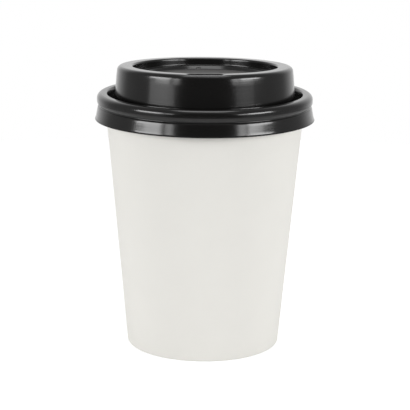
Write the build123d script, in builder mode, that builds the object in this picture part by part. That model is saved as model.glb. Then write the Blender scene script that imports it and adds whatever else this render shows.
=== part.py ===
import os
from math import atan, cos, degrees, radians, sin, tan

from build123d import *

# Paper coffee cup with a push-on sip lid, in millimetres.
# The origin is the centre of the foot ring, on the surface the cup stands on, with +Z up.
# The sip slot faces -Y and the side seam of the wall is at the back, at +Y.

# ---- cup wall: a wrapped blank of paperboard ----
board = 0.4  # thickness of the wall's board
cup_height = 98.0  # standing surface to the top of the rolled rim
foot_radius = 29.8  # outside of the wall, carried down to the standing surface
mouth_radius = 38.62  # outside of the wall, carried up to the top of the rolled rim
curl_radius = 1.13  # outside radius of the rolled rim's section
curl_sweep = 285.0  # degrees that the board turns through in the roll
hem_height = 7.5  # height of the inner flap folded up at the foot
hem_bend = 0.25  # radius at the middle of the board where the hem turns
lap_angle = 13.0  # degrees round the cup where the two ends of the blank overlap
lap_ramp_angle = 9.0  # degrees over which the outer layer settles back onto the wall
lap_bite = 0.1  # depth that the outer layer is drawn into the wall to join it
lap_margin = 0.6  # bare height left between the outer layer and the fold or the roll

# ---- cup base: a disc with a down-turned edge, held in the hem ----
base_board = 0.35  # thickness of the base's board
base_level = 9.0  # height of the base's upper face
base_bend = 0.6  # radius at the middle of the board where its edge turns down
base_lift = 0.5  # gap from the inside of the fold up to the turned-down edge
seal_gap = 0.05  # sealing film between two layers of board

# ---- lid: one thermoformed sheet, measured from the rolled rim that it grips ----
lid_sheet = 0.35  # thickness of the sheet
seat_clearance = 0.2  # gap between the rolled rim and the bead around it
plug_clearance = 0.32  # gap between the mouth of the cup and the groove's outer side
bead_inner_bend = 0.6  # radius where the bead turns down into the groove
waist_fall = 1.1  # straight stretch of the bead's side, below its round top
waist_bend = 1.5  # radius where the bead's side turns in to the neck
neck_fall = 2.05  # rolled rim's underside down to the neck
neck_inset = 1.2  # bead's outside in to the neck
neck_bend = 0.3  # radius in the neck
shoulder_fall = 0.5  # neck down to the skirt's shoulder
shoulder_inset = 0.45  # bead's outside in to the shoulder
shoulder_bend = 0.5  # radius on the skirt's shoulder
skirt_height = 4.19  # shoulder down to the trimmed edge
skirt_reach = 0.35  # bead's outside out to the skirt, just above its lip
lip_height = 0.9  # height of the flared lip
lip_reach = 1.05  # bead's outside out to the trimmed edge
groove_depth = 4.4  # top of the bead to the groove's floor
groove_width = 1.65  # width of the groove at its floor
groove_bend = 0.5  # radius at both sides of the groove's floor
plug_rake = 1.1  # the groove's outer side leans in by this much, top to bottom
dome_rake = 4.7  # degrees that the dome's side leans in
brow_height = 3.6  # band at the top of the dome's side, which leans in a little more
brow_rake = 6.7  # degrees that the band leans in
brow_bend = 25.0  # radius where the band starts
dome_rise = 10.6  # top of the bead up to the dome's rim, at the middle
dome_bend = 1.8  # radius on the outer edge of the dome's rim
rim_slant = 2.1  # degrees that the dome's rim rises towards the sip slot
rim_width = 5.75  # width of the dome's rim before its edges are rounded
mouth_bend = 0.8  # radius on the inner edge of the dome's rim
recess_rake = 4.8  # degrees that the recess's side leans in
ledge_rise = 6.85  # top of the bead up to the ledge in the recess
ledge_width = 1.9  # width of the ledge
deck_drop = 0.85  # ledge down to the flat deck
deck_inset = 0.3  # inside of the ledge in to the deck's edge
recess_bend = 0.4  # radius at the ledge and the deck's edge
rib_radius = 0.16  # section radius of the fine sealing ribs in the groove
rib_count = 3
rib_pitch = 0.85  # height from one rib to the next
rib_drop = 1.35  # top of the bead down to the first rib
slot_length = 13.5  # sip slot, along the rim
slot_width = 2.4  # sip slot, across the rim
slot_inset = 2.6  # inner edge of the rim out to the slot's middle
pip_radius = 1.05  # raised vent pip at the deck's edge
pip_rise = 0.6  # height of the pip over the deck
pip_inset = 0.5  # deck's edge in to the pip's middle
pip_bearing = 96.4  # degrees round from +X to the pip
vent_radius = 0.4  # hole through the pip

# ---- worked out from the sizes above ----
wall_slope = (mouth_radius - foot_radius) / cup_height
lean = atan(wall_slope)


def wall_radius(height, inset):
    """Radius, at a height, of the cone that lies inset inside the wall's outer face."""
    return foot_radius + height * wall_slope - inset / cos(lean)


curl_line_radius = curl_radius - board / 2
curl_height = cup_height - curl_radius
curl_start_height = curl_height + curl_line_radius * sin(lean)
curl_start_radius = wall_radius(curl_start_height, board / 2)
curl_centre_radius = curl_start_radius + curl_line_radius * cos(lean)
flap_inset = board + seal_gap + base_board + seal_gap + board / 2
fold_level = board / 2
lap_bottom = lap_margin
lap_top = curl_height - curl_radius - lap_margin
lap_start = 90 - lap_angle / 2

base_inset = board + seal_gap + base_board / 2
base_line_level = base_level - base_board / 2
base_edge_level = board + base_lift

bead_radius = curl_radius + seat_clearance + lid_sheet
bead_top = curl_height + bead_radius
bead_outside = curl_centre_radius + bead_radius
bead_inside = curl_centre_radius - curl_radius - plug_clearance - lid_sheet
neck_level = curl_height - curl_radius - neck_fall
shoulder_level = neck_level - shoulder_fall
trim_level = shoulder_level - skirt_height
lip_flare = (lip_reach - skirt_reach) / lip_height
groove_floor = bead_top - groove_depth
dome_foot_radius = bead_inside - plug_rake - groove_width
rim_level = bead_top + dome_rise
ledge_level = bead_top + ledge_rise
deck_level = ledge_level - deck_drop
dome_lean = tan(radians(dome_rake))
brow_lean = tan(radians(brow_rake))
recess_lean = tan(radians(recess_rake))
brow_level = rim_level - brow_height
brow_radius = dome_foot_radius - (brow_level - groove_floor) * dome_lean
recess_radius = brow_radius - brow_height * brow_lean - rim_width
ledge_outside = recess_radius - (rim_level - ledge_level) * recess_lean
ledge_inside = ledge_outside - ledge_width
deck_radius = ledge_inside - deck_inset
slot_radius = recess_radius + slot_inset
pip_place = Vector(deck_radius - pip_inset, 0).rotate(Axis.Z, pip_bearing)
rim_plane = Plane(
    origin=(0, 0, rim_level),
    x_dir=(1, 0, 0),
    z_dir=(0, sin(radians(rim_slant)), cos(radians(rim_slant))),
)
slot_sweep = degrees((slot_length - slot_width) / slot_radius)
overdraw = 2.0  # the skirt is drawn this much too long, and is then trimmed
headroom = 6.0  # the dome and its recess are drawn this much too tall, and are then trimmed


def keep_outside_axis(radius, height):
    """Trims the sketch in progress to the side of the axis that is turned."""
    with Locations((radius / 2, height / 2)):
        Rectangle(radius, height, mode=Mode.INTERSECT)


# ---- cup wall ----
with BuildPart() as cup_wall:
    with BuildSketch(Plane.XZ):
        with BuildLine():
            FilletPolyline(
                (wall_radius(hem_height, flap_inset), hem_height),
                (wall_radius(fold_level, flap_inset), fold_level),
                (wall_radius(fold_level, board / 2), fold_level),
                (curl_start_radius, curl_start_height),
                radius=hem_bend,
            )
            CenterArc(
                (curl_centre_radius, curl_height),
                curl_line_radius,
                180 - degrees(lean),
                -curl_sweep,
            )
            offset(amount=board / 2, kind=Kind.ARC)
        make_face()
    revolve(axis=Axis.Z)
    # the outer end of the blank lies over the inner end, then settles back onto the wall
    for height in (lap_bottom, lap_top):
        inside = wall_radius(height, lap_bite)
        outside = wall_radius(height, -board)
        with BuildSketch(Plane.XY.offset(height)):
            with BuildLine():
                over = CenterArc((0, 0), outside, lap_start, lap_angle)
                under = CenterArc((0, 0), inside, lap_start, lap_angle + lap_ramp_angle)
                Line(over @ 0, under @ 0)
                Line(over @ 1, under @ 1)
            make_face()
    loft(ruled=True)
cup_wall.part.label = "cup_wall"

# ---- cup base ----
with BuildPart() as cup_base:
    with BuildSketch(Plane.XZ):
        with BuildLine():
            FilletPolyline(
                (-base_bend, base_line_level),
                (wall_radius(base_line_level, base_inset), base_line_level),
                (wall_radius(base_edge_level, base_inset), base_edge_level),
                radius=base_bend,
            )
            offset(amount=base_board / 2, kind=Kind.ARC)
        make_face()
        keep_outside_axis(mouth_radius, cup_height)
    revolve(axis=Axis.Z)
cup_base.part.label = "cup_base"


# ---- lid: two nested forms, with the sheet between them ----
def recess_form(grow):
    """The sunk middle of the dome, grown by grow all over."""
    top = rim_level + headroom
    with BuildPart() as form:
        with BuildSketch(Plane.XZ):
            with BuildLine():
                FilletPolyline(
                    (-headroom, deck_level),
                    (deck_radius, deck_level),
                    (ledge_inside, ledge_level),
                    (ledge_outside, ledge_level),
                    (recess_radius + headroom * recess_lean, top),
                    (-headroom, top),
                    radius=(0, recess_bend, recess_bend, recess_bend, 0, 0),
                    close=True,
                )
            make_face()
            if grow:
                offset(amount=grow, kind=Kind.ARC)
            keep_outside_axis(bead_outside, top + cup_height)
        revolve(axis=Axis.Z)
    return form.part


def lid_form(inset):
    """Everything under the lid's upper face, drawn in by inset all over."""
    top = rim_level + headroom
    outline = (
        (bead_outside + lip_reach + lip_flare * overdraw, trim_level - overdraw, 0),
        (bead_outside + skirt_reach, trim_level + lip_height, 0),
        (bead_outside - shoulder_inset, shoulder_level, shoulder_bend),
        (bead_outside - neck_inset, neck_level, neck_bend),
        (bead_outside, curl_height - waist_fall, waist_bend),
        (bead_outside, bead_top, bead_radius),
        (bead_inside, bead_top, bead_inner_bend),
        (bead_inside - plug_rake, groove_floor, groove_bend),
        (dome_foot_radius, groove_floor, groove_bend),
        (brow_radius, brow_level, brow_bend),
        (brow_radius - (top - brow_level) * brow_lean, top, 0),
        (-headroom, top, 0),
        (-headroom, trim_level - overdraw, 0),
    )
    with BuildPart() as form:
        with BuildSketch(Plane.XZ):
            with BuildLine():
                corners = [corner[:2] for corner in outline]
                bends = [corner[2] for corner in outline]
                FilletPolyline(*corners, radius=bends, close=True)
            make_face()
            if inset:
                offset(amount=-inset, kind=Kind.ARC)
            keep_outside_axis(2 * bead_outside, top + cup_height)
        revolve(axis=Axis.Z)
        split(bisect_by=rim_plane.offset(-inset), keep=Keep.BOTTOM)
        fillet(form.faces().sort_by(Axis.Z)[-1].edges(), dome_bend - inset)
        add(recess_form(inset), mode=Mode.SUBTRACT)
        rim_face = form.faces().filter_by(rim_plane).sort_by(Axis.Z)[-1]
        fillet(rim_face.edges().sort_by(SortBy.LENGTH)[0], mouth_bend - inset)
        with BuildSketch(Plane.XY.offset(deck_level - pip_rise)):
            with Locations(pip_place):
                Circle(pip_radius - inset)
        extrude(amount=2 * pip_rise - inset)
    return form.part


with BuildPart() as lid:
    add(lid_form(0))
    add(lid_form(lid_sheet), mode=Mode.SUBTRACT)
    split(bisect_by=Plane.XY.offset(trim_level), keep=Keep.TOP)
    # fine ribs round the outer side of the groove
    with BuildSketch(Plane.XZ):
        for index in range(rib_count):
            drop = rib_drop + index * rib_pitch
            with Locations((bead_inside - plug_rake * drop / groove_depth, bead_top - drop)):
                Circle(rib_radius)
    revolve(axis=Axis.Z)
    # sip slot, curved along the high side of the rim
    with BuildSketch(Plane.XY.offset(ledge_level)):
        SlotArc(CenterArc((0, 0), slot_radius, -90 - slot_sweep / 2, slot_sweep), slot_width)
    extrude(amount=rim_level + headroom - ledge_level, mode=Mode.SUBTRACT)
    with Locations((pip_place.X, pip_place.Y, deck_level)):
        Hole(vent_radius)
lid.part.label = "lid"

os.makedirs("parts", exist_ok=True)
export_step(cup_wall.part, "parts/cup_wall.step")
export_step(cup_base.part, "parts/cup_base.step")
export_step(lid.part, "parts/lid.step")
for piece in (cup_wall.part, cup_base.part, lid.part):
    print(piece.label, "valid" if piece.is_valid else "not valid", round(piece.volume, 1), "mm3")
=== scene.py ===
import math

import bpy
import numpy as np
from mathutils import Euler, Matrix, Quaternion, Vector


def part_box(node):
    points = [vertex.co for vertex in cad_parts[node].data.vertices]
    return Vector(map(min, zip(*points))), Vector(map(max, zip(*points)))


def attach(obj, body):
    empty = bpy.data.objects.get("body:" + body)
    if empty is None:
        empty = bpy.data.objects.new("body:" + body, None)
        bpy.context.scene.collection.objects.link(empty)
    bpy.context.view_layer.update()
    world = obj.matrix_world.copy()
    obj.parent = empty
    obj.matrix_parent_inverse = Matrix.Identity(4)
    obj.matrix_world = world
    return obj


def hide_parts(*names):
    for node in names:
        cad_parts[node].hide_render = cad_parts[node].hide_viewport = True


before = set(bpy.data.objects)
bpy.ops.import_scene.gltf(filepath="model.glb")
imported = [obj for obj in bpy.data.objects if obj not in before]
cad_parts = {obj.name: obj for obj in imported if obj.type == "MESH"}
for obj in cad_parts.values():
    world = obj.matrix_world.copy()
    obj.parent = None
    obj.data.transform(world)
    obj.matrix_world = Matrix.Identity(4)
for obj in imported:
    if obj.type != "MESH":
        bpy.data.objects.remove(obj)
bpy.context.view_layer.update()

mm = 0.001
hair = 0.01  # tolerance in millimetres, for a point that lies right on a limit
print("frame loaded:", ", ".join(sorted(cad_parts)))

# sizes that the new pieces take from the frame, in millimetres
wallBox = [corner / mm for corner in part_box("cup_wall")]
baseBox = [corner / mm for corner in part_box("cup_base")]
lidBox = [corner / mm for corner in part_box("lid")]
rollTop = wallBox[1].z
rollOutside = wallBox[1].x
baseTop = baseBox[1].z
lidTrim = lidBox[0].z


def roundedPath(corners, runStep, arcStep):
    # Straight runs with tangent arcs, with a point every runStep mm and about every arcStep degrees.
    # At a corner with bend radius R between unit directions u and v, the arc's centre is
    # R / sin(half angle) along their bisector, and the points turn about it evenly.
    points = [np.array([corners[0][:2]], float)]
    for before, corner, after in zip(corners, corners[1:], corners[2:]):
        place = np.array(corner[:2], float)
        u = np.array(before[:2]) - place
        v = np.array(after[:2]) - place
        u = u / np.linalg.norm(u)
        v = v / np.linalg.norm(v)
        bend = corner[2] if len(corner) > 2 else 0
        if bend:
            angle = math.acos(float(np.clip(u @ v, -1, 1)))
            reach = bend / math.tan(angle / 2)
            centre = place + (u + v) / np.linalg.norm(u + v) * bend / math.sin(angle / 2)
            start = place + u * reach - centre
            end = place + v * reach - centre
            turn = math.pi - angle
            share = np.linspace(0, 1, max(3, int(math.degrees(turn) / arcStep) + 2))[:, None]
            swept = np.sin((1 - share) * turn) * start + np.sin(share * turn) * end
            points.append(centre + swept / math.sin(turn))
        else:
            points.append(place[None])
    points.append(np.array([corners[-1][:2]], float))
    dense = [points[0]]
    for piece in points[1:]:
        gap = np.linalg.norm(piece[0] - dense[-1][-1])
        steps = max(1, int(math.ceil(gap / runStep)))
        fill = dense[-1][-1] + (piece[0] - dense[-1][-1]) * (np.arange(1, steps)[:, None] / steps)
        dense += [fill, piece]
    return np.concatenate(dense)


def offsetPath(path, amount):
    # Moves each point of a path to its left by amount, along the mean normal of its two runs, and
    # further at a bend, by 1 / cosine of half the bend, so that both runs keep the full distance.
    leastCosine = 0.5
    runs = np.diff(path, axis=0)
    runs = runs / np.linalg.norm(runs, axis=1)[:, None]
    normals = np.stack([-runs[:, 1], runs[:, 0]], axis=1)
    mean = np.concatenate([normals[:1], normals[:-1] + normals[1:], normals[-1:]])
    length = np.linalg.norm(mean, axis=1)[:, None]
    mean = mean / length
    stretch = np.ones((len(path), 1))
    stretch[1:-1] = 1 / np.clip((mean[1:-1] * normals[1:]).sum(axis=1)[:, None], leastCosine, 1)
    return path + mean * amount * stretch


def smoothStep(low, high, value):
    # 0 up to low and 1 from high on, with the cubic 3 t^2 - 2 t^3 between them. High may be below low.
    t = np.clip((value - low) / (high - low), 0, 1)
    return t * t * (3 - 2 * t)


def turnedMesh(name, angles, radii, heights, closed):
    # Point (i, j) is at (radii[i, j] cos angles[i], radii[i, j] sin angles[i], heights[i, j]).
    # The profile runs up the outer side first. It is a closed loop, or it starts and ends on the axis.
    rows, columns = radii.shape
    x = radii * np.cos(angles)[:, None]
    y = radii * np.sin(angles)[:, None]
    grid = np.stack([x, y, heights], axis=2) * mm
    i = np.arange(rows)
    nextRow = (i + 1) % rows
    if closed:
        j = np.arange(columns)
        nextColumn = (j + 1) % columns
        index = i[:, None] * columns + j
        index2 = nextRow[:, None] * columns + j
        quads = np.stack([index, index2, index2[:, nextColumn], index[:, nextColumn]], axis=2).reshape(-1, 4)
        vertices = grid.reshape(-1, 3)
        triangles = np.zeros((0, 3), int)
    else:
        inner = columns - 2
        j = np.arange(inner - 1)
        index = i[:, None] * inner + j
        index2 = nextRow[:, None] * inner + j
        quads = np.stack([index, index2, index2 + 1, index + 1], axis=2).reshape(-1, 4)
        first, last = rows * inner, rows * inner + 1
        vertices = np.concatenate([grid[:, 1:-1].reshape(-1, 3), grid[:1, 0], grid[:1, -1]])
        start = np.stack([np.full(rows, first), nextRow * inner, i * inner], axis=1)
        end = np.stack([np.full(rows, last), i * inner + inner - 1, nextRow * inner + inner - 1], axis=1)
        triangles = np.concatenate([start, end])
    mesh = bpy.data.meshes.new(name)
    mesh.vertices.add(len(vertices))
    mesh.vertices.foreach_set("co", vertices.astype(np.float32).ravel())
    loops = np.concatenate([quads.ravel(), triangles.ravel()]).astype(np.int32)
    mesh.loops.add(len(loops))
    mesh.loops.foreach_set("vertex_index", loops)
    counts = np.concatenate([np.full(len(quads), 4), np.full(len(triangles), 3)])
    mesh.polygons.add(len(counts))
    mesh.polygons.foreach_set("loop_start", (np.cumsum(counts) - counts).astype(np.int32))
    mesh.update(calc_edges=True)
    mesh.validate()
    piece = bpy.data.objects.new(name, mesh)
    bpy.context.scene.collection.objects.link(piece)
    return piece


def smoothShaded(piece):
    # smooth over bends, with a crisp line at edges sharper than this
    sharpAngle = 35
    mesh = piece.data
    mesh.polygons.foreach_set("use_smooth", np.ones(len(mesh.polygons), bool))
    mesh.set_sharp_from_angle(angle=math.radians(sharpAngle))
    mesh.update()


# the lid, in millimetres
lidSizes = {
    "sheet": 0.35,
    "seatGap": 0.5,  # rolled rim to the bead around it
    "rollRadius": 1.13,  # section of the cup's rolled rim
    "beadInset": 3.78,  # bead's outside in to its inner side
    "beadInnerBend": 0.6,
    "waistFall": 1.4,  # middle of the roll down to where the bead's side turns in
    "waistBend": 1.5,
    "neckFall": 1.62,  # roll's underside down to the neck
    "neckInset": 0.9,  # bead's outside in to the neck
    "neckBend": 0.3,
    "shoulderFall": 0.15,  # neck down to the skirt's shoulder
    "shoulderInset": 0.35,  # bead's outside in to the shoulder
    "shoulderBend": 0.9,
    "skirtReach": 0.45,  # bead's outside out to the skirt, just above its lip
    "lipHeight": 0.5,
    "lipBend": 0.6,
    "grooveDepth": 4.7,  # top of the bead down to the groove's floor
    "grooveWidth": 1.65,
    "grooveBend": 0.5,
    "plugRake": 1.1,  # how far the groove's outer side leans in
    "domeRake": 4.7,  # degrees that the dome's side leans in
    "domeRise": 10.42,  # top of the bead up to the dome's rim
    "domeBend": 1.8,
    "browHeight": 3.6,  # top band of the dome's side, which leans in a little more than the rest
    "browRake": 6.7,  # degrees
    "browBend": 25,
    "rimSlant": 2.1,  # degrees that the rim rises towards the sip slot
    "rimWidth": 5.75,
    "mouthBend": 0.8,
    "recessRake": 3.2,  # degrees that the recess's side leans in
    "ledgeRise": 6.6,  # top of the bead up to the ledge in the recess
    "ledgeWidth": 1.9,
    "deckDrop": 1.1,  # ledge down to the flat deck
    "deckInset": 1.1,  # inside of the ledge in to the deck's edge
    "recessBend": 0.3,
    "ribRadius": 0.16,
    "ribReach": (0.3, 0.1),  # inside and outside of the groove's outer side that the ribs stand on
    "ribDrops": (1.35, 2.2, 3.05),  # below the bead's top
    "columns": 240,
    "runStep": 0.8,
    "arcStep": 11.0,  # degrees
    "deckRingStep": 5,  # only every so many rings on the middle of the deck
    "deckRingEdge": 2.6,  # deck's edge in to where all the rings start
    "pipRadius": 1.05,
    "pipRise": 0.6,
    "pipInset": 0.5,  # deck's edge in to the pip's middle
    "pipSlope": (0.35, 0.1),  # inside and outside of the pip's edge over which it falls to the deck
    "pipReach": 0.2,  # outside of the pip's edge where nothing is raised any more
    "pipLedge": 2.5,  # outside of the deck's edge that the pip may still rise from
    "pipBearing": 96.4,  # degrees
    "pipSweep": 3.6,  # degrees to each side of the pip with closer columns
    "pipRoom": 0.3,  # degrees left bare beyond those
    "pipColumns": 19,
    "ventRadius": 0.4,
    "ventPoints": 24,
    "slotLength": 13.5,
    "slotWidth": 2.4,
    "slotInset": 2.6,  # inner edge of the rim out to the slot's middle
    "slotArcPoints": 25,
    "slotEndPoints": 13,
    "slotDish": 0.22,  # how far the rim dips along the slot's outer edge
    "dishSpread": 1.1,  # width of the dip, across the rim
    "dishDepth": 3,  # height below the rim that the dip reaches
    "dishEnds": (0.85, 1.25),  # where the dip fades, in half lengths of the slot
    "cutterRoom": 6,  # how far the slot's cutter stands over the rim
    "ventRoom": 2,  # how far the vent's cutter stands over and under the deck
    "outOfRound": 0.12,  # how far the thin skirt is pushed in and out
    "waves": ((2, 0.5, 0.6), (5, 0.35, 2.1)),  # count round the skirt, share and phase of each wave
    "waveStart": 1.0,  # over the skirt's shoulder
    "waveInset": 1.6,  # bead's outside in to where the skirt is told from the rest
    "spread": 1.006,  # the thin sheet springs out a little over the rolled rim
}


def lidProfile(v):
    # Corners of the upper face from the axis outwards, as (radius, height, bend).
    beadRadius = v["rollRadius"] + v["seatGap"] + v["sheet"]
    rollLevel = rollTop - v["rollRadius"]
    beadTop = rollLevel + beadRadius
    beadOutside = rollOutside + v["seatGap"] + v["sheet"]
    beadInside = beadOutside - v["beadInset"]
    neckLevel = rollLevel - v["rollRadius"] - v["neckFall"]
    shoulderLevel = neckLevel - v["shoulderFall"]
    grooveFloor = beadTop - v["grooveDepth"]
    domeFoot = beadInside - v["plugRake"] - v["grooveWidth"]
    rimLevel = beadTop + v["domeRise"]
    ledgeLevel = beadTop + v["ledgeRise"]
    deckLevel = ledgeLevel - v["deckDrop"]
    domeLean = math.tan(math.radians(v["domeRake"]))
    recessLean = math.tan(math.radians(v["recessRake"]))
    browLean = math.tan(math.radians(v["browRake"]))
    browLevel = rimLevel - v["browHeight"]
    browRadius = domeFoot - (browLevel - grooveFloor) * domeLean
    domeEdge = browRadius - v["browHeight"] * browLean
    mouth = domeEdge - v["rimWidth"]
    ledgeOutside = mouth - (rimLevel - ledgeLevel) * recessLean
    ledgeInside = ledgeOutside - v["ledgeWidth"]
    deckRadius = ledgeInside - v["deckInset"]
    corners = [
        (0, deckLevel),
        (deckRadius, deckLevel, v["recessBend"]),
        (ledgeInside, ledgeLevel, v["recessBend"]),
        (ledgeOutside, ledgeLevel, v["recessBend"]),
        (mouth, rimLevel, v["mouthBend"]),
        (domeEdge, rimLevel, v["domeBend"]),
        (browRadius, browLevel, v["browBend"]),
        (domeFoot, grooveFloor, v["grooveBend"]),
        (beadInside - v["plugRake"], grooveFloor, v["grooveBend"]),
        (beadInside, beadTop, v["beadInnerBend"]),
        (beadOutside, beadTop, beadRadius),
        (beadOutside, rollLevel - v["waistFall"], v["waistBend"]),
        (beadOutside - v["neckInset"], neckLevel, v["neckBend"]),
        (beadOutside - v["shoulderInset"], shoulderLevel, v["shoulderBend"]),
        (beadOutside + v["skirtReach"], lidTrim + v["lipHeight"], v["lipBend"]),
        (lidBox[1].x, lidTrim),
    ]
    levels = {
        "beadTop": beadTop, "beadInside": beadInside, "beadOutside": beadOutside, "grooveFloor": grooveFloor,
        "rimLevel": rimLevel, "ledgeLevel": ledgeLevel, "deckLevel": deckLevel, "deckRadius": deckRadius,
        "mouth": mouth, "domeFoot": domeFoot, "shoulderLevel": shoulderLevel,
    }
    return corners, levels


def cutterMesh(name, outline, low, high):
    # A prism: the outline's points at the low level, then at the high one, with a cap at each end.
    count = len(outline)
    ring = np.arange(count)
    lower = np.column_stack([outline, np.full(count, low)])
    upper = np.column_stack([outline, np.full(count, high)])
    sides = np.stack([ring, (ring + 1) % count, (ring + 1) % count + count, ring + count], axis=1)
    faces = sides.tolist() + [ring[::-1].tolist(), (ring + count).tolist()]
    mesh = bpy.data.meshes.new(name)
    mesh.from_pydata((np.concatenate([lower, upper]) * mm).tolist(), [], faces)
    cutter = bpy.data.objects.new(name, mesh)
    bpy.context.scene.collection.objects.link(cutter)
    return cutter


def slotOutline(v, radius):
    # A stadium bent round the axis: an outer arc, a round end, an inner arc, a round end.
    half = v["slotWidth"] / 2
    sweep = (v["slotLength"] - v["slotWidth"]) / 2 / radius
    middle = -math.pi / 2
    along = np.linspace(-sweep, sweep, v["slotArcPoints"])
    cap = np.linspace(0, math.pi, v["slotEndPoints"])[1:-1]

    def arc(arcRadius, bearings):
        return arcRadius * np.stack([np.cos(bearings), np.sin(bearings)], axis=1)

    def roundEnd(side):
        bearing = middle + side * sweep
        out = np.array([math.cos(bearing), math.sin(bearing)])
        around = np.array([-out[1], out[0]]) * side
        turn = cap if side > 0 else math.pi - cap
        return out * radius + half * (np.cos(turn)[:, None] * out + np.sin(turn)[:, None] * around)

    outer = arc(radius + half, middle + along)
    inner = arc(radius - half, middle - along)
    return np.concatenate([outer, roundEnd(1), inner, roundEnd(-1)])


def cutAway(piece, cutters):
    # Cuts each cutter out of the piece, and keeps the result as its mesh.
    for cutter in cutters:
        modifier = piece.modifiers.new("cut", "BOOLEAN")
        modifier.operation = "DIFFERENCE"
        modifier.solver = "EXACT"
        modifier.object = cutter
    bpy.context.view_layer.update()
    result = bpy.data.meshes.new_from_object(piece.evaluated_get(bpy.context.evaluated_depsgraph_get()))
    piece.modifiers.clear()
    old = piece.data
    piece.data = result
    result.name = old.name
    bpy.data.meshes.remove(old)
    for cutter in cutters:
        bpy.data.objects.remove(cutter)


def makeLid(v):
    # One thin sheet turned about the axis: its upper face from the axis out to the trimmed edge, and its
    # lower face back, which is the upper one moved in by the sheet's thickness and cut level at the trim.
    corners, at = lidProfile(v)
    upper = roundedPath(corners, v["runStep"], v["arcStep"])
    # the flat deck needs only some of its rings, out to where the pip starts
    nearEdge = upper[:, 0] > at["deckRadius"] - v["deckRingEdge"]
    upper = upper[nearEdge | (np.arange(len(upper)) % v["deckRingStep"] == 0)]
    lower = offsetPath(upper, -v["sheet"])
    lower[0, 0] = 0
    lower = lower[lower[:, 1] > lidTrim]
    slope = (lower[-1] - lower[-2]) / (lower[-1] - lower[-2])[1]
    lower = np.concatenate([lower, [lower[-1] + slope * (lidTrim - lower[-1][1])]])

    even = np.linspace(0, 2 * math.pi, v["columns"], endpoint=False)
    pipBearing = math.radians(v["pipBearing"])
    nearPip = pipBearing + np.radians(np.linspace(-v["pipSweep"], v["pipSweep"], v["pipColumns"]))
    pipMargin = math.radians(v["pipSweep"] + v["pipRoom"])
    angles = np.unique(np.concatenate([even[np.abs(even - pipBearing) > pipMargin], nearPip]))

    slotRadius = at["mouth"] + v["slotInset"]
    pipPlace = (at["deckRadius"] - v["pipInset"]) * np.array([math.cos(pipBearing), math.sin(pipBearing)])

    def placed(path, inset):
        # The path at every angle, with the slant, the dip, the pip and the waves put on. Inset is how
        # far the path lies inside the upper face.
        radius = np.repeat(path[None, :, 0], len(angles), axis=0)
        height = np.repeat(path[None, :, 1], len(angles), axis=0)
        angle = angles[:, None]
        # the dome's rim is slanted: its height shears with y, fading to nothing at the groove and the ledge
        onDome = path[:, 0] < at["domeFoot"] + hair
        fromGroove = (path[:, 1] - at["grooveFloor"]) / (at["rimLevel"] - at["grooveFloor"])
        fromLedge = (path[:, 1] - at["ledgeLevel"]) / (at["rimLevel"] - at["ledgeLevel"])
        outside = np.clip(fromGroove, 0, 1) * onDome
        share = np.where(path[:, 0] > at["mouth"], outside, np.clip(fromLedge, 0, 1))
        height = height - share * radius * np.sin(angle) * math.tan(math.radians(v["rimSlant"]))
        # the rim dips a little along the outer edge of the sip slot
        halfSlot = v["slotLength"] / 2 / slotRadius
        start, end = v["dishEnds"]
        alongSlot = 1 - smoothStep(start * halfSlot, end * halfSlot, np.abs(angle - 1.5 * math.pi))
        fromEdge = (path[:, 0] - slotRadius - v["slotWidth"] / 2) / v["dishSpread"]
        acrossSlot = np.exp(-fromEdge ** 2) * (path[:, 1] > at["rimLevel"] - v["dishDepth"])
        height = height - v["slotDish"] * alongSlot * acrossSlot
        # the vent's pip: a small round rise over the deck
        away = np.hypot(radius * np.cos(angle) - pipPlace[0], radius * np.sin(angle) - pipPlace[1])
        edge = v["pipRadius"] - inset
        fall = smoothStep(edge - v["pipSlope"][0], edge + v["pipSlope"][1], away)
        pip = at["deckLevel"] - inset + v["pipRise"] * (1 - fall)
        onDeck = path[:, 0] < at["deckRadius"] + v["pipLedge"]
        underPip = onDeck[None, :] & (away < v["pipRadius"] + v["pipReach"])
        height = np.where(underPip, np.maximum(height, pip), height)
        # the thin skirt isn't quite round: long waves run round it
        onSkirt = path[:, 0] > at["beadOutside"] - v["waveInset"]
        skirt = smoothStep(at["shoulderLevel"] + v["waveStart"], lidTrim, path[:, 1]) * onSkirt
        wave = sum(part * np.sin(count * angle + phase) for count, part, phase in v["waves"])
        radius = radius * v["spread"] + v["outOfRound"] * skirt * wave
        return radius, height

    upperRadius, upperHeight = placed(upper, 0)
    # fine sealing ribs stand in from the groove's outer side
    plugInside = at["beadInside"] - v["plugRake"] - v["ribReach"][0]
    onPlug = (upper[:, 0] > plugInside) & (upper[:, 0] < at["beadInside"] + v["ribReach"][1])
    for drop in v["ribDrops"]:
        rib = np.sqrt(np.clip(v["ribRadius"] ** 2 - (upper[:, 1] - at["beadTop"] + drop) ** 2, 0, None))
        upperRadius = upperRadius - rib * onPlug
    lowerRadius, lowerHeight = placed(lower, v["sheet"])
    radii = np.concatenate([lowerRadius, upperRadius[:, ::-1]], axis=1)
    heights = np.concatenate([lowerHeight, upperHeight[:, ::-1]], axis=1)
    lid = turnedMesh("lidSheet", angles, radii, heights, closed=False)
    slotTop = at["rimLevel"] + v["cutterRoom"]
    slot = cutterMesh("slotCutter", slotOutline(v, slotRadius), at["ledgeLevel"], slotTop)
    turn = np.linspace(0, 2 * math.pi, v["ventPoints"], endpoint=False)
    ventOutline = pipPlace + v["ventRadius"] * np.stack([np.cos(turn), np.sin(turn)], axis=1)
    ventBottom, ventTop = at["deckLevel"] - v["ventRoom"], at["deckLevel"] + v["ventRoom"]
    vent = cutterMesh("ventCutter", ventOutline, ventBottom, ventTop)
    cutAway(lid, [slot, vent])
    smoothShaded(lid)
    return lid, at


lid, lidAt = makeLid(lidSizes)
print("lid made:", len(lid.data.polygons), "faces")


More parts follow.
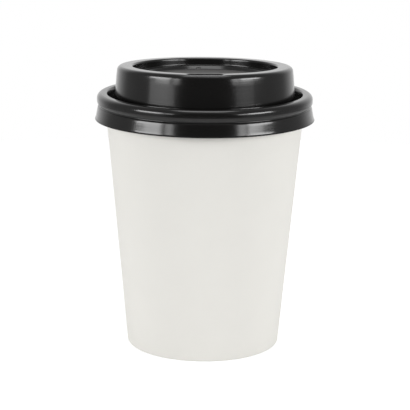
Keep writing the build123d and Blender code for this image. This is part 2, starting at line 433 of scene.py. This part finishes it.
# the cup's wall, in millimetres
wallSizes = {
    "board": 0.4,
    "footRadius": 29.8,
    "mouthRadius": 38.62,
    "curlRadius": 1.13,
    "curlSweep": 285,  # degrees
    "hemHeight": 7.5,
    "hemBend": 0.25,
    "flapInset": 1.05,  # wall's outer face in to the middle of the folded-up flap
    "lapAngle": 13,  # degrees round the cup where the blank's ends overlap
    "lapRamp": 9,  # degrees over which the outer end settles back
    "lapEdge": 0.0006,  # half of the outer end's cut edge, in radians
    "lapRoom": 0.004,  # bare angle on each side of that edge, in radians
    "lapBottom": (0.1, 0.6),  # over the floor, where the outer end starts
    "lapTop": (2.4, 1.4),  # under the middle of the roll, where it stops
    "lapFace": 0.1,  # depth that still counts as the wall's outer face
    "seamWidth": 0.25,  # fine groove inside, where the blank's inner end stops
    "seamDepth": 0.12,
    "seamFace": 0.02,  # distance that still counts as the wall's inner face
    "columns": 256,
    "rollPoints": 40,
    "runStep": 1.0,
    "arcStep": 15.0,  # degrees
}


def makeWall(v):
    # One strip of board: the middle line of its section, up the flap, down round the fold, up the wall
    # and round the roll, then half the board to each side, turned about the axis.
    half = v["board"] / 2
    slope = (v["mouthRadius"] - v["footRadius"]) / rollTop
    lean = math.atan(slope)

    def faceRadius(height, inset):
        return v["footRadius"] + height * slope - inset / math.cos(lean)

    lineRadius = v["curlRadius"] - half
    curlLevel = rollTop - v["curlRadius"]
    startLevel = curlLevel + lineRadius * math.sin(lean)
    startRadius = faceRadius(startLevel, half)
    centre = np.array([startRadius + lineRadius * math.cos(lean), curlLevel])
    straight = roundedPath([
        (faceRadius(v["hemHeight"], v["flapInset"]), v["hemHeight"]),
        (faceRadius(half, v["flapInset"]), half, v["hemBend"]),
        (faceRadius(half, half), half, v["hemBend"]),
        (startRadius, startLevel),
    ], v["runStep"], v["arcStep"])
    turn = math.pi - lean - np.radians(np.linspace(0, v["curlSweep"], v["rollPoints"])[1:])
    roll = centre + lineRadius * np.stack([np.cos(turn), np.sin(turn)], axis=1)
    middle = np.concatenate([straight, roll])
    inside = offsetPath(middle, half)
    outside = offsetPath(middle, -half)
    loop = np.concatenate([outside, inside[::-1]])
    isOuter = np.arange(len(loop)) < len(outside)

    lapStart = math.radians(90 - v["lapAngle"] / 2)
    lapEnd = math.radians(90 + v["lapAngle"] / 2)
    rampEnd = lapEnd + math.radians(v["lapRamp"])
    even = np.linspace(0, 2 * math.pi, v["columns"], endpoint=False)
    edge = lapStart + np.array([-v["lapEdge"], v["lapEdge"]])
    angles = np.unique(np.concatenate([even[np.abs(even - lapStart) > v["lapRoom"]], edge]))
    over = np.where(angles >= lapStart, 1 - smoothStep(lapEnd, rampEnd, angles), 0.0)
    # the outer end lies on the straight of the wall only, from just over the fold to just under the roll
    fromFoot = smoothStep(*v["lapBottom"], loop[:, 1])
    toRoll = 1 - smoothStep(curlLevel - v["lapTop"][0], curlLevel - v["lapTop"][1], loop[:, 1])
    onWall = fromFoot * toRoll * isOuter * (loop[:, 0] > faceRadius(loop[:, 1], v["lapFace"]))
    radii = loop[None, :, 0] + v["board"] * over[:, None] * onWall[None, :]
    # a fine groove inside, where the inner end stops under the outer one
    seamLine = np.exp(-(((angles - lapEnd) * v["mouthRadius"]) / v["seamWidth"]) ** 2)
    fromFace = np.abs(loop[:, 0] - faceRadius(loop[:, 1], v["board"]))
    insideWall = (~isOuter) & (fromFace < v["seamFace"]) & (loop[:, 1] < curlLevel)
    radii = radii + v["seamDepth"] * seamLine[:, None] * insideWall[None, :]
    heights = np.repeat(loop[None, :, 1], len(angles), axis=0)
    wall = turnedMesh("wallSheet", angles, radii, heights, closed=True)
    smoothShaded(wall)
    return wall


wall = makeWall(wallSizes)
print("wall made:", len(wall.data.polygons), "faces")


# the cup's base, in millimetres
baseSizes = {
    "board": 0.35,
    "bend": 0.6,
    "wallInset": 0.625,  # wall's outer face in to the middle of the base's board
    "edgeLevel": 0.9,
    "sag": 0.25,  # how far the middle of the disc is pressed down
    "flatRoom": 0.05,  # height under the disc that still counts as flat
    "columns": 192,
    "runStep": 0.8,
    "arcStep": 12.0,  # degrees
}


def makeBase(v, wallValues):
    # A disc with a turned-down edge: the middle line of its section from the axis out and down, then half
    # the board to each side. Its middle sags by a cosine of the radius.
    slope = (wallValues["mouthRadius"] - wallValues["footRadius"]) / rollTop
    lean = math.atan(slope)
    half = v["board"] / 2
    level = baseTop - half

    def lineRadius(height):
        return wallValues["footRadius"] + height * slope - v["wallInset"] / math.cos(lean)

    middle = roundedPath([
        (0, level),
        (lineRadius(level), level, v["bend"]),
        (lineRadius(v["edgeLevel"]), v["edgeLevel"]),
    ], v["runStep"], v["arcStep"])
    upper = offsetPath(middle, half)
    lower = offsetPath(middle, -half)
    loop = np.concatenate([lower, upper[::-1]])
    flat = loop[:, 1] > level - half - v["flatRoom"]
    reach = lineRadius(level) - 2 * v["bend"]
    sag = v["sag"] * flat * (0.5 + 0.5 * np.cos(math.pi * np.clip(loop[:, 0] / reach, 0, 1)))
    loop[:, 1] = loop[:, 1] - sag
    angles = np.linspace(0, 2 * math.pi, v["columns"], endpoint=False)
    radii = np.repeat(loop[None, :, 0], len(angles), axis=0)
    heights = np.repeat(loop[None, :, 1], len(angles), axis=0)
    base = turnedMesh("baseDisc", angles, radii, heights, closed=False)
    smoothShaded(base)
    return base


base = makeBase(baseSizes, wallSizes)
print("base made:", len(base.data.polygons), "faces")

for piece, body, node, slot in (
    (lid, "lid", "lid", "lid_plastic"),
    (wall, "cup", "cup_wall", "wall_paper"),
    (base, "cup", "cup_base", "base_paper"),
):
    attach(piece, body)
    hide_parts(node)


def addNode(tree, kind, **settings):
    node = tree.nodes.new(kind)
    for name, value in settings.items():
        setattr(node, name, value)
    return node


def linkMath(tree, operation, first, second):
    node = addNode(tree, "ShaderNodeMath", operation=operation)
    for socket, value in zip(node.inputs, (first, second)):
        if isinstance(value, (int, float)):
            socket.default_value = value
        elif value is not None:
            tree.links.new(value, socket)
    return node.outputs[0]


grainLook = {"fibreDetail": 4, "fibreRoughness": 0.6, "mottleDetail": 2}


def fineGrainGroup(v):
    # Paper fibre: fine noise and a slower mottle. It gives a tone around 1 and the fibre's height.
    tree = bpy.data.node_groups.new("fineGrain", "ShaderNodeTree")
    tree.interface.new_socket("Position", in_out="INPUT", socket_type="NodeSocketVector")
    for name in ("Fibre Scale", "Mottle Scale", "Tone Range"):
        tree.interface.new_socket(name, in_out="INPUT", socket_type="NodeSocketFloat")
    for name in ("Tone", "Height"):
        tree.interface.new_socket(name, in_out="OUTPUT", socket_type="NodeSocketFloat")
    given = addNode(tree, "NodeGroupInput")
    result = addNode(tree, "NodeGroupOutput")
    fibre = addNode(tree, "ShaderNodeTexNoise")
    fibre.inputs["Detail"].default_value = v["fibreDetail"]
    fibre.inputs["Roughness"].default_value = v["fibreRoughness"]
    mottle = addNode(tree, "ShaderNodeTexNoise")
    mottle.inputs["Detail"].default_value = v["mottleDetail"]
    tree.links.new(given.outputs["Position"], fibre.inputs["Vector"])
    tree.links.new(given.outputs["Position"], mottle.inputs["Vector"])
    tree.links.new(given.outputs["Fibre Scale"], fibre.inputs["Scale"])
    tree.links.new(given.outputs["Mottle Scale"], mottle.inputs["Scale"])
    mixed = linkMath(tree, "ADD", fibre.outputs[0], mottle.outputs[0])
    centred = linkMath(tree, "SUBTRACT", mixed, 1.0)
    ranged = linkMath(tree, "MULTIPLY", centred, given.outputs["Tone Range"])
    tree.links.new(linkMath(tree, "ADD", ranged, 1.0), result.inputs["Tone"])
    tree.links.new(fibre.outputs[0], result.inputs["Height"])
    return tree


fineGrain = fineGrainGroup(grainLook)

paperShine = 0.3
bumpDepth = 0.0002  # metres
paperLook = {
    "wall": {
        "colour": (0.85, 0.838, 0.796), "roughness": 0.62,
        "fibreScale": 2600, "mottleScale": 90, "toneRange": 0.03, "bump": 0.05,
    },
    "base": {
        "colour": (0.86, 0.85, 0.81), "roughness": 0.5,
        "fibreScale": 2600, "mottleScale": 120, "toneRange": 0.035, "bump": 0.04,
    },
}


def paperMaterial(name, v):
    material = bpy.data.materials.new(name)
    material.use_nodes = True
    tree = material.node_tree
    shader = tree.nodes["Principled BSDF"]
    shader.inputs["Roughness"].default_value = v["roughness"]
    shader.inputs["Specular IOR Level"].default_value = paperShine
    where = addNode(tree, "ShaderNodeTexCoord")
    grain = addNode(tree, "ShaderNodeGroup")
    grain.node_tree = fineGrain
    grain.inputs["Fibre Scale"].default_value = v["fibreScale"]
    grain.inputs["Mottle Scale"].default_value = v["mottleScale"]
    grain.inputs["Tone Range"].default_value = v["toneRange"]
    tree.links.new(where.outputs["Object"], grain.inputs["Position"])
    tint = addNode(tree, "ShaderNodeMix", data_type="RGBA", blend_type="MULTIPLY")
    tint.inputs["Factor"].default_value = 1.0
    tint.inputs["A"].default_value = (*v["colour"], 1)
    tree.links.new(grain.outputs["Tone"], tint.inputs["B"])
    tree.links.new(tint.outputs["Result"], shader.inputs["Base Color"])
    bump = addNode(tree, "ShaderNodeBump")
    bump.inputs["Strength"].default_value = v["bump"]
    bump.inputs["Distance"].default_value = bumpDepth
    tree.links.new(grain.outputs["Height"], bump.inputs["Height"])
    tree.links.new(bump.outputs["Normal"], shader.inputs["Normal"])
    return material


plasticLook = {
    "colour": (0.0052, 0.0049, 0.0047),
    "ior": 1.57,
    "gloss": 0.16,  # roughness of the formed faces
    "deckPaintedLightColour": (0.062, 0.060, 0.058),  # the deck has a matte frosting, and its colour is painted lighter for the light that falls on it from above
    "deckGloss": 0.55,  # roughness of the flat deck
    "deckEdge": (-0.1, -0.6),  # from the deck's edge, where the frosting and the painted light start and are full, in millimetres
    "cloudScale": 140,  # slow change of the gloss over the sheet
    "cloudDetail": 3,
    "cloudRange": 0.06,
    "drawScale": (18, 18, 1500),  # fineness of the lines drawn round the dome, along them and up the sheet
    "drawDetail": 2,
    "drawBump": 0.10,
    "drawDepth": 0.0001,  # metres
}


def plasticMaterial(name, v, at):
    material = bpy.data.materials.new(name)
    material.use_nodes = True
    tree = material.node_tree
    shader = tree.nodes["Principled BSDF"]
    shader.inputs["IOR"].default_value = v["ior"]
    where = addNode(tree, "ShaderNodeTexCoord")
    parts = addNode(tree, "ShaderNodeSeparateXYZ")
    tree.links.new(where.outputs["Object"], parts.inputs[0])
    # distance from the axis, in millimetres
    squareX = linkMath(tree, "MULTIPLY", parts.outputs["X"], parts.outputs["X"])
    squareY = linkMath(tree, "MULTIPLY", parts.outputs["Y"], parts.outputs["Y"])
    radius = linkMath(tree, "SQRT", linkMath(tree, "ADD", squareX, squareY), None)
    radius = linkMath(tree, "MULTIPLY", radius, 1 / mm)
    deck = addNode(tree, "ShaderNodeMapRange", interpolation_type="SMOOTHSTEP")
    deck.inputs["From Min"].default_value = at["deckRadius"] + v["deckEdge"][0]
    deck.inputs["From Max"].default_value = at["deckRadius"] + v["deckEdge"][1]
    tree.links.new(radius, deck.inputs["Value"])
    # painted light: the deck's colour is made lighter for the light from above, on top of the rougher matte
    # frosting of its face
    paintedDeckLight = addNode(tree, "ShaderNodeMix", data_type="RGBA")
    paintedDeckLight.inputs["A"].default_value = (*v["colour"], 1)
    paintedDeckLight.inputs["B"].default_value = (*v["deckPaintedLightColour"], 1)
    tree.links.new(deck.outputs["Result"], paintedDeckLight.inputs["Factor"])
    tree.links.new(paintedDeckLight.outputs["Result"], shader.inputs["Base Color"])
    rougher = linkMath(tree, "MULTIPLY", deck.outputs["Result"], v["deckGloss"] - v["gloss"])
    roughness = linkMath(tree, "ADD", rougher, v["gloss"])
    cloud = addNode(tree, "ShaderNodeTexNoise")
    cloud.inputs["Scale"].default_value = v["cloudScale"]
    cloud.inputs["Detail"].default_value = v["cloudDetail"]
    tree.links.new(where.outputs["Object"], cloud.inputs["Vector"])
    uneven = linkMath(tree, "MULTIPLY", linkMath(tree, "SUBTRACT", cloud.outputs[0], 0.5), v["cloudRange"])
    tree.links.new(linkMath(tree, "ADD", roughness, uneven), shader.inputs["Roughness"])
    # lines drawn round the sheet as it was stretched: noise that is squeezed in height
    squeeze = addNode(tree, "ShaderNodeMapping")
    squeeze.inputs["Scale"].default_value = v["drawScale"]
    tree.links.new(where.outputs["Object"], squeeze.inputs["Vector"])
    lines = addNode(tree, "ShaderNodeTexNoise")
    lines.inputs["Scale"].default_value = 1
    lines.inputs["Detail"].default_value = v["drawDetail"]
    tree.links.new(squeeze.outputs[0], lines.inputs["Vector"])
    bump = addNode(tree, "ShaderNodeBump")
    bump.inputs["Strength"].default_value = v["drawBump"]
    bump.inputs["Distance"].default_value = v["drawDepth"]
    tree.links.new(lines.outputs[0], bump.inputs["Height"])
    tree.links.new(bump.outputs["Normal"], shader.inputs["Normal"])
    return material


def dress(piece, material):
    piece.data.materials.clear()
    piece.data.materials.append(material)


dress(wall, paperMaterial("wallPaper", paperLook["wall"]))
dress(base, paperMaterial("basePaper", paperLook["base"]))
dress(lid, plasticMaterial("lidPlastic", plasticLook, lidAt))
print("materials made")


# the stage, in metres
stageLook = {
    "floorRadius": 0.42,
    "floorPoints": 96,
    "floorColour": 0.86,
    "floorRoughness": 0.8,
    "floorLift": 0.5,  # added for camera rays only, so that the lit floor is plain white
    "room": 0.325,  # soft light of the room all round
    "front": 0.07,  # the darker room behind the camera
    "backdrop": 1.0,
    "frontEdge": (-0.8, -0.68),  # y of the direction where the dark front ends
    "backdropEdge": (0.42, 0.95),  # y of the direction over which the backdrop brightens
}
# upright soft lights: bearing in degrees, distance, width, bottom, top, radiance
softboxes = {
    "leftPanel": (-60, 1.0, 0.54, 0.2, 0.53, 8.0),
    "leftFoot": (-55, 1.0, 0.33, 0.155, 0.2, 5.4),
    "leftStrip": (-36.5, 1.0, 0.14, 0.155, 0.43, 4.2),
    "leftLow": (-56, 1.05, 0.66, 0.02, 0.155, 1.5),
    "rightPanel": (60, 1.0, 0.5, 0.205, 0.53, 9.5),
    "rightFoot": (54, 1.0, 0.3, 0.16, 0.205, 4.2),
    "rightStrip": (39, 1.0, 0.15, 0.16, 0.43, 4.9),
    "rightLow": (51, 1.05, 0.46, 0.02, 0.155, 0.5),
}
# a square light over the cup, facing down
overhead = {"height": 1.1, "size": 0.55, "radiance": 2.4}


def makeFloor(v):
    # A flat disc: one face on points at even angles round a circle.
    count = v["floorPoints"]
    turn = np.linspace(0, 2 * math.pi, count, endpoint=False)
    ring = np.column_stack([np.cos(turn), np.sin(turn), np.zeros(count)]) * v["floorRadius"]
    mesh = bpy.data.meshes.new("floor")
    mesh.from_pydata(ring.tolist(), [], [list(range(count))])
    floor = bpy.data.objects.new("floor", mesh)
    bpy.context.scene.collection.objects.link(floor)
    material = bpy.data.materials.new("floorWhite")
    material.use_nodes = True
    tree = material.node_tree
    shader = tree.nodes["Principled BSDF"]
    shader.inputs["Base Color"].default_value = (v["floorColour"], v["floorColour"], v["floorColour"], 1)
    shader.inputs["Roughness"].default_value = v["floorRoughness"]
    shader.inputs["Specular IOR Level"].default_value = 0.0
    rays = addNode(tree, "ShaderNodeLightPath")
    lift = linkMath(tree, "MULTIPLY", rays.outputs["Is Camera Ray"], v["floorLift"])
    shader.inputs["Emission Color"].default_value = (1, 1, 1, 1)
    tree.links.new(lift, shader.inputs["Emission Strength"])
    dress(floor, material)


def makeWorld(v):
    # White for camera rays. Other rays see a soft studio: white behind the cup, a darker room in front.
    world = bpy.data.worlds.new("studio")
    bpy.context.scene.world = world
    world.use_nodes = True
    tree = world.node_tree
    background = tree.nodes["Background"]
    where = addNode(tree, "ShaderNodeTexCoord")
    parts = addNode(tree, "ShaderNodeSeparateXYZ")
    tree.links.new(where.outputs["Generated"], parts.inputs[0])
    behind = addNode(tree, "ShaderNodeMapRange", interpolation_type="SMOOTHSTEP")
    behind.inputs["From Min"].default_value = v["frontEdge"][0]
    behind.inputs["From Max"].default_value = v["frontEdge"][1]
    behind.inputs["To Min"].default_value = v["front"]
    behind.inputs["To Max"].default_value = v["room"]
    tree.links.new(parts.outputs["Y"], behind.inputs["Value"])
    backdrop = addNode(tree, "ShaderNodeMapRange", interpolation_type="SMOOTHSTEP")
    backdrop.inputs["From Min"].default_value = v["backdropEdge"][0]
    backdrop.inputs["From Max"].default_value = v["backdropEdge"][1]
    backdrop.inputs["To Min"].default_value = 0.0
    backdrop.inputs["To Max"].default_value = v["backdrop"] - v["room"]
    tree.links.new(parts.outputs["Y"], backdrop.inputs["Value"])
    studio = linkMath(tree, "ADD", behind.outputs["Result"], backdrop.outputs["Result"])
    rays = addNode(tree, "ShaderNodeLightPath")
    whiteForCamera = addNode(tree, "ShaderNodeMix", data_type="FLOAT")
    tree.links.new(rays.outputs["Is Camera Ray"], whiteForCamera.inputs["Factor"])
    tree.links.new(studio, whiteForCamera.inputs["A"])
    whiteForCamera.inputs["B"].default_value = 1.0
    tree.links.new(whiteForCamera.outputs["Result"], background.inputs["Strength"])
    background.inputs["Color"].default_value = (1, 1, 1, 1)


def areaLight(name, place, target, width, height, radiance):
    # The power that gives a flat light this radiance: pi times its area times the radiance.
    data = bpy.data.lights.new(name, "AREA")
    data.shape = "RECTANGLE"
    data.size = width
    data.size_y = height
    data.energy = math.pi * width * height * radiance
    light = bpy.data.objects.new(name, data)
    bpy.context.scene.collection.objects.link(light)
    light.location = place
    light.rotation_mode = "QUATERNION"
    light.rotation_quaternion = (Vector(target) - Vector(place)).to_track_quat("-Z", "Y")
    light.visible_camera = False


makeFloor(stageLook)
makeWorld(stageLook)
for name, (bearing, distance, width, bottom, top, radiance) in softboxes.items():
    turn = math.radians(bearing)
    level = (bottom + top) / 2
    place = (distance * math.sin(turn), -distance * math.cos(turn), level)
    areaLight(name, place, (0, 0, level), width, top - bottom, radiance)
# the target is a millimetre off the axis, so that the light's turn about it is settled
place, target, size = (0, 0, overhead["height"]), (0, mm, 0), overhead["size"]
areaLight("overheadSoftbox", place, target, size, size, overhead["radiance"])
print("stage and lights made")

cameraSetup = {
    "distance": 0.5819,  # metres in front of the cup's axis
    "height": 0.19345,
    "pitch": 13.45,  # degrees down
    "yaw": -0.044,  # degrees
    "roll": 0.55,  # degrees
    "lens": 134.2,
    "sensor": 36.0,
}


def makeCamera(v):
    data = bpy.data.cameras.new("camera")
    data.lens = v["lens"]
    data.sensor_width = v["sensor"]
    camera = bpy.data.objects.new("camera", data)
    bpy.context.scene.collection.objects.link(camera)
    camera.location = (0, -v["distance"], v["height"])
    # a small roll about its own axis, then up from straight down, then about the vertical
    aim = Euler((math.radians(90 - v["pitch"]), 0, math.radians(v["yaw"]))).to_quaternion()
    camera.rotation_mode = "QUATERNION"
    camera.rotation_quaternion = aim @ Quaternion((0, 0, 1), math.radians(v["roll"]))
    return camera


camera = makeCamera(cameraSetup)
bpy.context.scene.camera = camera
bpy.context.scene.view_settings.view_transform = "Standard"

print("done")
